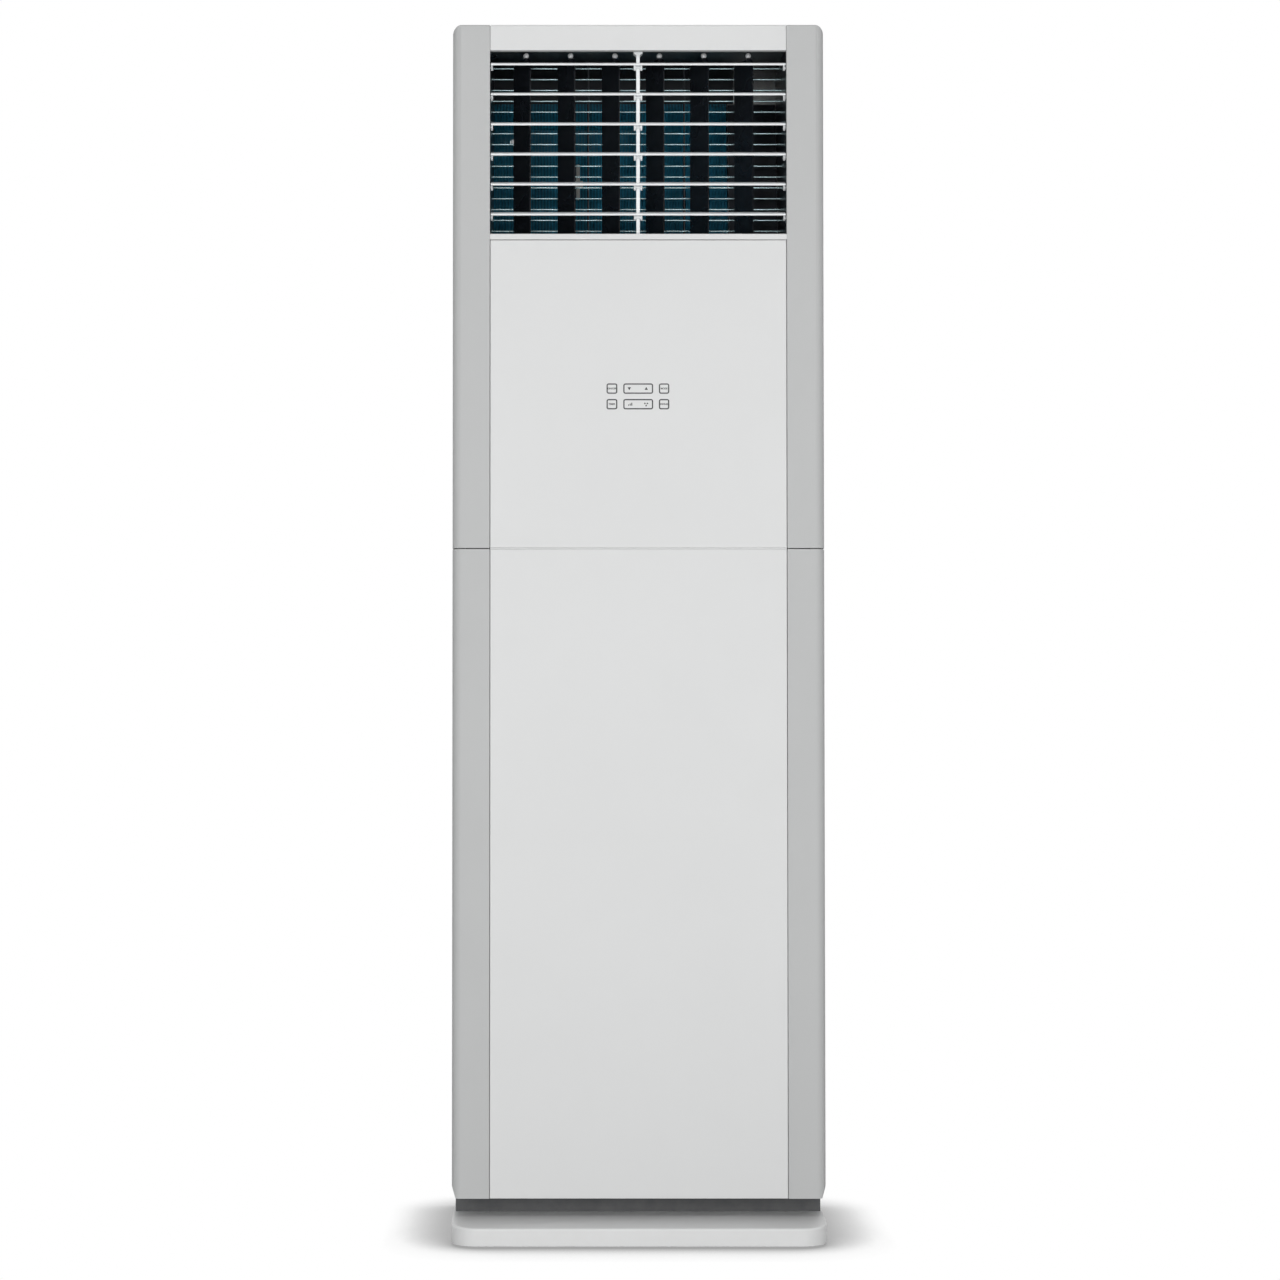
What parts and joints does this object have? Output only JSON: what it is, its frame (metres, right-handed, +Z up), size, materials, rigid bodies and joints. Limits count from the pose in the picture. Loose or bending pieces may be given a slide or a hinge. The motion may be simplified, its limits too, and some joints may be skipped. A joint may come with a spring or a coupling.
{
  "type": "floor standing air conditioner",
  "caption": "Tall cabinet air conditioner with a louvred outlet at the top, a flat two-part front, side intakes and a wide plinth.",
  "frame": {"origin": "middle of the footprint, on the floor under the rubber feet", "axes": "+Z up, -Y is the front with the air outlet, +X is the viewer's right"},
  "size_m": [0.572, 0.395, 1.87],
  "materials": {
    "panel_plastic": "smooth, faintly glossy light grey",
    "frame_plastic": "satin mid grey",
    "side_steel": "powder-coated mid grey",
    "plinth_plastic": "satin light grey",
    "dark_steel": "dark grey paint",
    "zinc_steel": "galvanised sheet",
    "louvre_plastic": "white moulding",
    "vane_plastic": "dark moulding",
    "duct_plastic": "near-black moulding",
    "dark_plastic": "black moulding",
    "guard_wire": "coated wire",
    "fin_aluminium": "blue hydrophilic coating",
    "copper": "drawn copper",
    "brass_nut": "turned brass",
    "motor_steel": "black paint",
    "shaft_steel": "ground steel",
    "wheel_plastic": "dark moulding",
    "grille_plastic": "satin mid grey",
    "filter_plastic": "grey moulded grid and net",
    "rubber_pad": "moulded rubber",
    "screw_steel": "zinc-plated steel",
    "board_green": "lacquered board",
    "capacitor_can": "drawn can"
  },
  "bodies": {
    "cabinet": {"air_baffle": "zinc_steel", "anchor_plate": "zinc_steel", "base_frame": "dark_steel", "base_plinth": "plinth_plastic", "cable_gland": "rubber_pad", "case_screws": "screw_steel", "centre_mullion": "louvre_plastic", "coil_sensor": "brass_nut", "drain_pan": "dark_plastic", "electric_box": "zinc_steel", "electric_box_cover": "zinc_steel", "evaporator_bends": "copper", "evaporator_end_plates": "zinc_steel", "evaporator_fins": "fin_aluminium", "fan_motor": "motor_steel", "filter_rails": "dark_plastic", "flare_nuts": "brass_nut", "foot_pads": "rubber_pad", "intake_grille_left": "grille_plastic", "intake_grille_right": "grille_plastic", "lower_front_frame": "frame_plastic", "lower_front_panel": "panel_plastic", "main_board": "board_green", "motor_bracket": "zinc_steel", "outlet_duct": "duct_plastic", "outlet_trim": "panel_plastic", "partition_deck": "zinc_steel", "rear_panel": "zinc_steel", "refrigerant_pipes": "copper", "run_capacitor": "capacitor_can", "scroll_front": "zinc_steel", "scroll_rear": "zinc_steel", "side_panel_left": "side_steel", "side_panel_right": "side_steel", "swing_motors": "motor_steel", "terminal_block": "dark_plastic", "top_cover": "side_steel", "touch_board": "board_green", "upper_front_frame": "frame_plastic", "upper_front_panel": "panel_plastic", "vane_bushes": "louvre_plastic", "wire_guard": "guard_wire"},
    "louvre_1": {"louvre_1": "louvre_plastic"},
    "louvre_2": {"louvre_2": "louvre_plastic"},
    "louvre_3": {"louvre_3": "louvre_plastic"},
    "louvre_4": {"louvre_4": "louvre_plastic"},
    "louvre_5": {"louvre_5": "louvre_plastic"},
    "louvre_6": {"louvre_6": "louvre_plastic"},
    "vane_1": {"vane_1": "vane_plastic"},
    "vane_2": {"vane_2": "vane_plastic"},
    "vane_3": {"vane_3": "vane_plastic"},
    "vane_4": {"vane_4": "vane_plastic"},
    "vane_5": {"vane_5": "vane_plastic"},
    "vane_6": {"vane_6": "vane_plastic"},
    "louvre_link": {"louvre_link": "dark_plastic"},
    "vane_link": {"vane_link": "dark_plastic"},
    "blower": {"blower_wheel": "wheel_plastic", "blower_shaft": "shaft_steel"},
    "filter_left": {"filter_left": "filter_plastic"},
    "filter_right": {"filter_right": "filter_plastic"}
  },
  "joints": [
    {"name": "louvre_1_tilt", "type": "hinge", "parent": "cabinet", "child": "louvre_1", "pos_m": [0, -0.13325, 1.80711], "axis": [1, 0, 0], "range_deg": [-32, 23]},
    {"name": "louvre_2_tilt", "type": "hinge", "parent": "cabinet", "child": "louvre_2", "pos_m": [0, -0.13325, 1.76053], "axis": [1, 0, 0], "range_deg": [-32, 23]},
    {"name": "louvre_3_tilt", "type": "hinge", "parent": "cabinet", "child": "louvre_3", "pos_m": [0, -0.13325, 1.71395], "axis": [1, 0, 0], "range_deg": [-32, 23]},
    {"name": "louvre_4_tilt", "type": "hinge", "parent": "cabinet", "child": "louvre_4", "pos_m": [0, -0.13325, 1.66737], "axis": [1, 0, 0], "range_deg": [-32, 23]},
    {"name": "louvre_5_tilt", "type": "hinge", "parent": "cabinet", "child": "louvre_5", "pos_m": [0, -0.13325, 1.62079], "axis": [1, 0, 0], "range_deg": [-32, 23]},
    {"name": "louvre_6_tilt", "type": "hinge", "parent": "cabinet", "child": "louvre_6", "pos_m": [0, -0.13325, 1.57421], "axis": [1, 0, 0], "range_deg": [-32, 23]},
    {"name": "louvre_link_swing", "type": "hinge", "parent": "louvre_1", "child": "louvre_link", "pos_m": [-0.2365, -0.11173, 1.81169], "axis": [1, 0, 0], "range_deg": [-23, 32]},
    {"name": "vane_1_turn", "type": "hinge", "parent": "cabinet", "child": "vane_1", "pos_m": [-0.174, -0.076, 1.546], "axis": [0, 0, 1], "range_deg": [-70, 6]},
    {"name": "vane_2_turn", "type": "hinge", "parent": "cabinet", "child": "vane_2", "pos_m": [-0.1044, -0.076, 1.546], "axis": [0, 0, 1], "range_deg": [-70, 6]},
    {"name": "vane_3_turn", "type": "hinge", "parent": "cabinet", "child": "vane_3", "pos_m": [-0.0348, -0.076, 1.546], "axis": [0, 0, 1], "range_deg": [-70, 6]},
    {"name": "vane_4_turn", "type": "hinge", "parent": "cabinet", "child": "vane_4", "pos_m": [0.0348, -0.076, 1.546], "axis": [0, 0, 1], "range_deg": [-70, 6]},
    {"name": "vane_5_turn", "type": "hinge", "parent": "cabinet", "child": "vane_5", "pos_m": [0.1044, -0.076, 1.546], "axis": [0, 0, 1], "range_deg": [-70, 6]},
    {"name": "vane_6_turn", "type": "hinge", "parent": "cabinet", "child": "vane_6", "pos_m": [0.174, -0.076, 1.546], "axis": [0, 0, 1], "range_deg": [-70, 6]},
    {"name": "vane_link_swing", "type": "hinge", "parent": "vane_1", "child": "vane_link", "pos_m": [-0.18672, -0.05565, 1.549], "axis": [0, 0, 1], "range_deg": [-6, 70]},
    {"name": "blower_spin", "type": "hinge", "parent": "cabinet", "child": "blower", "pos_m": [-0.027, 0.06, 0.56], "axis": [0, 1, 0], "continuous": true},
    {"name": "filter_left_slide", "type": "slide", "parent": "cabinet", "child": "filter_left", "axis": [0, 1, 0], "range_m": [0, 0.25]},
    {"name": "filter_right_slide", "type": "slide", "parent": "cabinet", "child": "filter_right", "axis": [0, 1, 0], "range_m": [0, 0.25]}
  ],
  "couplings": [
    {"joint": "louvre_2_tilt", "follows": "louvre_1_tilt", "ratio": 1},
    {"joint": "louvre_3_tilt", "follows": "louvre_1_tilt", "ratio": 1},
    {"joint": "louvre_4_tilt", "follows": "louvre_1_tilt", "ratio": 1},
    {"joint": "louvre_5_tilt", "follows": "louvre_1_tilt", "ratio": 1},
    {"joint": "louvre_6_tilt", "follows": "louvre_1_tilt", "ratio": 1},
    {"joint": "louvre_link_swing", "follows": "louvre_1_tilt", "ratio": -1},
    {"joint": "vane_2_turn", "follows": "vane_1_turn", "ratio": 1},
    {"joint": "vane_3_turn", "follows": "vane_1_turn", "ratio": 1},
    {"joint": "vane_4_turn", "follows": "vane_1_turn", "ratio": 1},
    {"joint": "vane_5_turn", "follows": "vane_1_turn", "ratio": 1},
    {"joint": "vane_6_turn", "follows": "vane_1_turn", "ratio": 1},
    {"joint": "vane_link_swing", "follows": "vane_1_turn", "ratio": -1}
  ]
}
